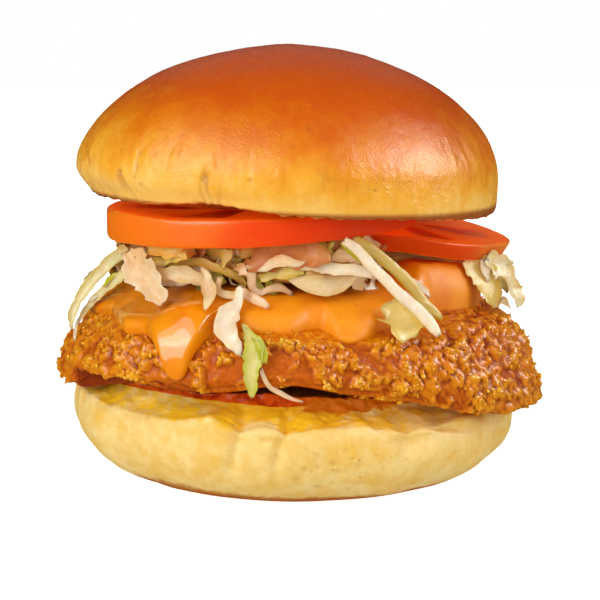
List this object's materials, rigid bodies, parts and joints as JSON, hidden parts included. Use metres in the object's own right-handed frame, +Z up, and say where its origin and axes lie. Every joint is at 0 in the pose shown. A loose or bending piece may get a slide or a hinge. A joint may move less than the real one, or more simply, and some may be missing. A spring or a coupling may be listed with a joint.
{
  "type": "chicken burger",
  "caption": "Fried chicken burger in a soft glazed bun, with creamy orange sauce, shredded lettuce and tomato slices; stands on its flat foot.",
  "frame": {"origin": "on the table, under the middle of the heel's flat foot", "axes": "+Z up; the front, with the drip of sauce, faces -Y; the fillet is longest along X"},
  "size_m": [0.1199, 0.1105, 0.1052],
  "materials": {
    "bottom_bun": "soft baked bread, matt",
    "chicken_fillet": "fried breading, slightly oily",
    "sauce": "creamy sauce, glossy",
    "lettuce": "crisp leaf, moist",
    "tomato_slice_side": "wet fruit",
    "tomato_slice_front": "wet fruit",
    "top_bun": "egg-washed crust, satin gloss"
  },
  "bodies": {
    "root": {"bottom_bun": "bottom_bun", "chicken_fillet": "chicken_fillet", "sauce": "sauce", "lettuce": "lettuce", "tomato_slice_side": "tomato_slice_side", "tomato_slice_front": "tomato_slice_front", "top_bun": "top_bun"}
  },
  "joints": []
}
